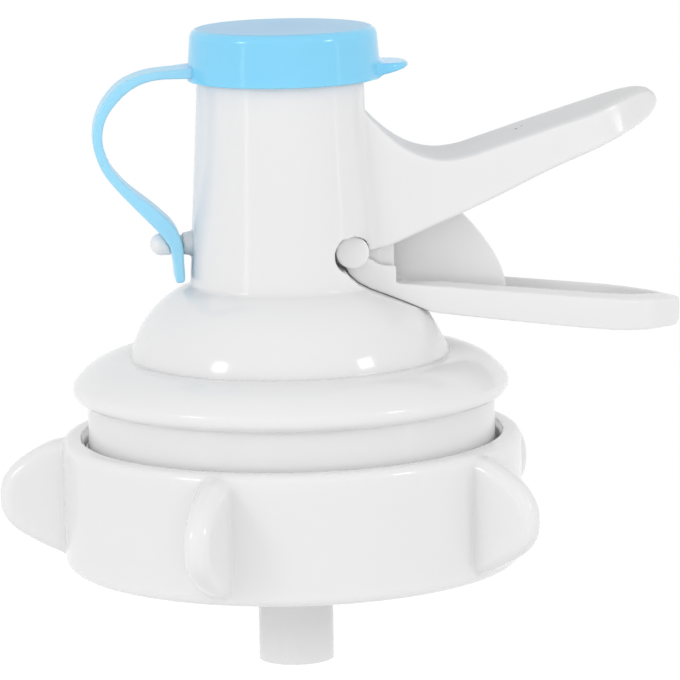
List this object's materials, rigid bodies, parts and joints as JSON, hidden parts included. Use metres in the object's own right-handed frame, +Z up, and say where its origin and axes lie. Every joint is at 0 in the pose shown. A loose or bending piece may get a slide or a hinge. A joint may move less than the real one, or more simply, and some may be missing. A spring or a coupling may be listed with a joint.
{
  "type": "water jug hand pump",
  "caption": "Squeeze-lever pouring head that clamps on a crown-neck water jug, with a capped upright spout, fixed handle and spring-closed valve.",
  "frame": {"origin": "on the jug neck's axis, in the plane where the jug's mouth meets the gasket", "axes": "+Z up the spout, +X along the handle and lever, +Y to the left of someone holding the handle and facing the spout's far side"},
  "size_m": [0.1016, 0.0828, 0.0946],
  "materials": {
    "white_plastic": "glossy moulded white",
    "natural_plastic": "plain moulded natural plastic",
    "blue_plastic": "glossy sky blue, slightly soft",
    "gasket_rubber": "pale silicone",
    "seal_rubber": "dark sealing rubber",
    "stainless_steel": "stainless"
  },
  "bodies": {
    "head": {"housing": "white_plastic", "seat_plate": "natural_plastic", "plate_seal": "seal_rubber", "neck_gasket": "gasket_rubber", "stem_seal": "seal_rubber", "gland_bush": "natural_plastic", "vent_seal": "seal_rubber", "valve_cage": "white_plastic", "cage_screws": "stainless_steel", "spring_washer": "stainless_steel"},
    "lever": {"squeeze_lever": "white_plastic"},
    "stem": {"valve_stem": "natural_plastic", "valve_disc": "natural_plastic", "disc_washer": "seal_rubber", "disc_clip": "stainless_steel", "return_spring": "stainless_steel"},
    "cap": {"spout_cap": "blue_plastic", "cap_seal": "gasket_rubber", "cap_strap": "blue_plastic"},
    "collar": {"grip_collar": "natural_plastic"},
    "ring": {"clamp_ring": "white_plastic"}
  },
  "joints": [
    {"name": "lever_squeeze", "type": "hinge", "parent": "head", "child": "lever", "pos_m": [0.0088, 0, 0.0264], "axis": [0, -1, 0], "range_deg": [0, 24], "stiffness_Nm_per_rad": 0.2, "springref_deg": -11.46},
    {"name": "stem_push", "type": "slide", "parent": "head", "child": "stem", "axis": [0, 0, -1], "range_m": [0, 0.0037], "deforming": ["return_spring"]},
    {"name": "cap_lift", "type": "slide", "parent": "head", "child": "cap", "axis": [0, 0, 1], "range_m": [0, 0.012], "deforming": ["cap_strap"]},
    {"name": "collar_slide", "type": "slide", "parent": "head", "child": "collar", "axis": [0, 0, -1], "range_m": [0, 0.0046]},
    {"name": "ring_turn", "type": "hinge", "parent": "collar", "child": "ring", "pos_m": [0, 0, -0.011], "axis": [0, 0, -1], "range_deg": [0, 540]}
  ],
  "couplings": [
    {"joint": "stem_push", "follows": "lever_squeeze", "m_per_rad": 0.0088},
    {"joint": "collar_slide", "follows": "ring_turn", "m_per_rad": 0.00047746}
  ]
}
